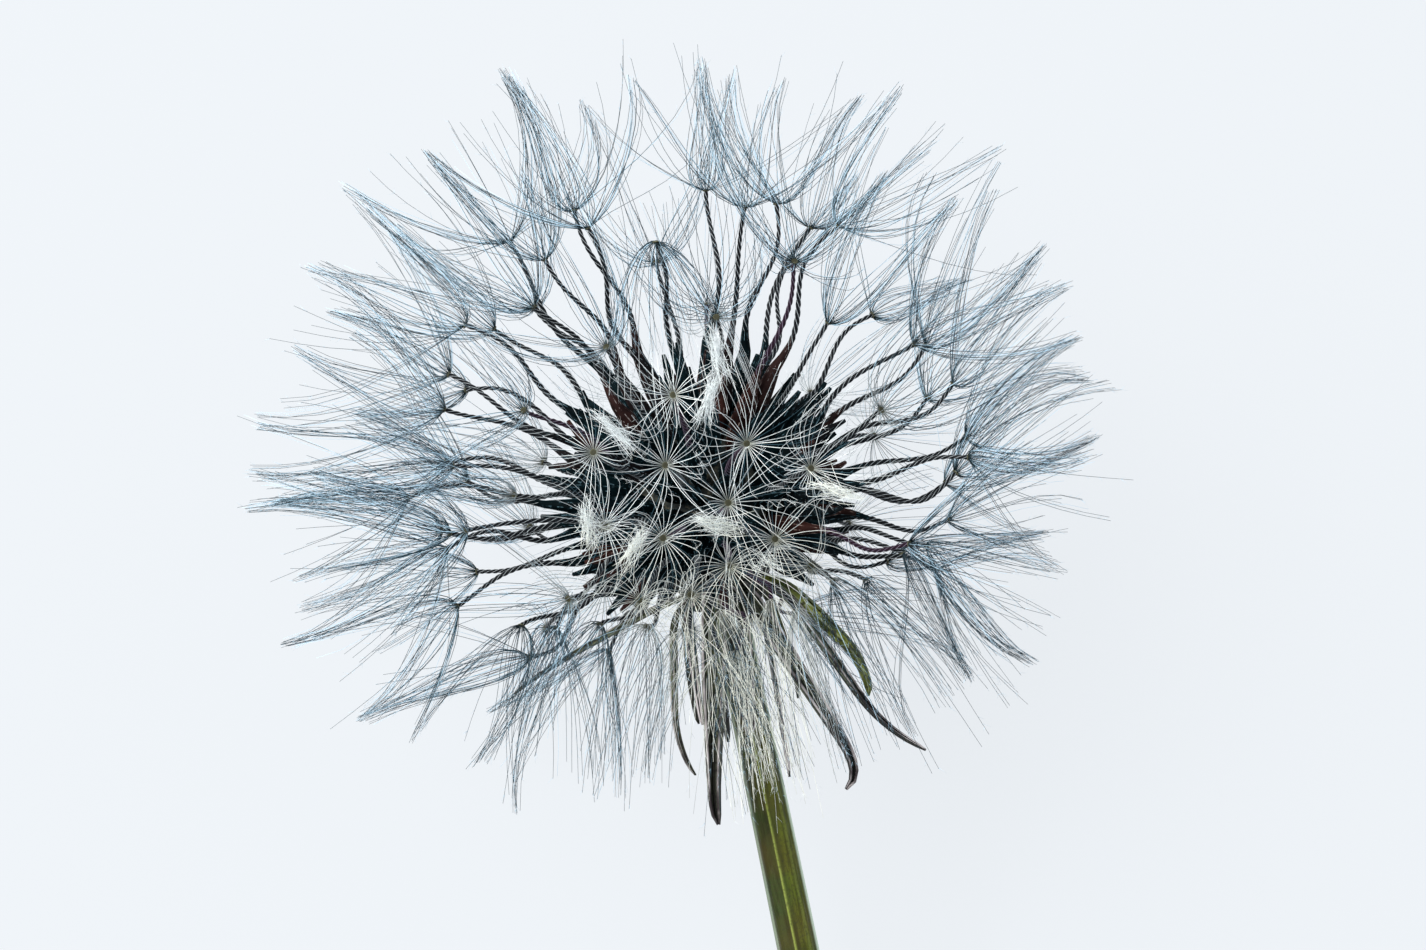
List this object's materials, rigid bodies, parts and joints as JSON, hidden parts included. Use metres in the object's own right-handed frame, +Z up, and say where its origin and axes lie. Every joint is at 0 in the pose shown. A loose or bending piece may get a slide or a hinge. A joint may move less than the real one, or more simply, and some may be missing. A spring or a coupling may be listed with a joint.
{
  "type": "dandelion seed head",
  "caption": "Round dandelion seed head on a short cut stem, lying on its side, with parachute seeds round the head and withered bracts turned back under it.",
  "frame": {"origin": "centre of the bounding box's base, on the surface that the plant lies on", "axes": "+Z up from the surface, +Y level, from the cut end of the stem towards the head, +X to the right as seen from the cut end"},
  "size_m": [0.0482, 0.0732, 0.0465],
  "materials": {
    "stem": "satin, olive green, ribbed lengthwise",
    "bracts": "matt, withered grey green with purple brown edges",
    "seeds": "matt, silvery hairs on dark beaks and seeds"
  },
  "bodies": {
    "root": {"stem": "stem", "bracts": "bracts", "seeds": "seeds"}
  },
  "joints": []
}
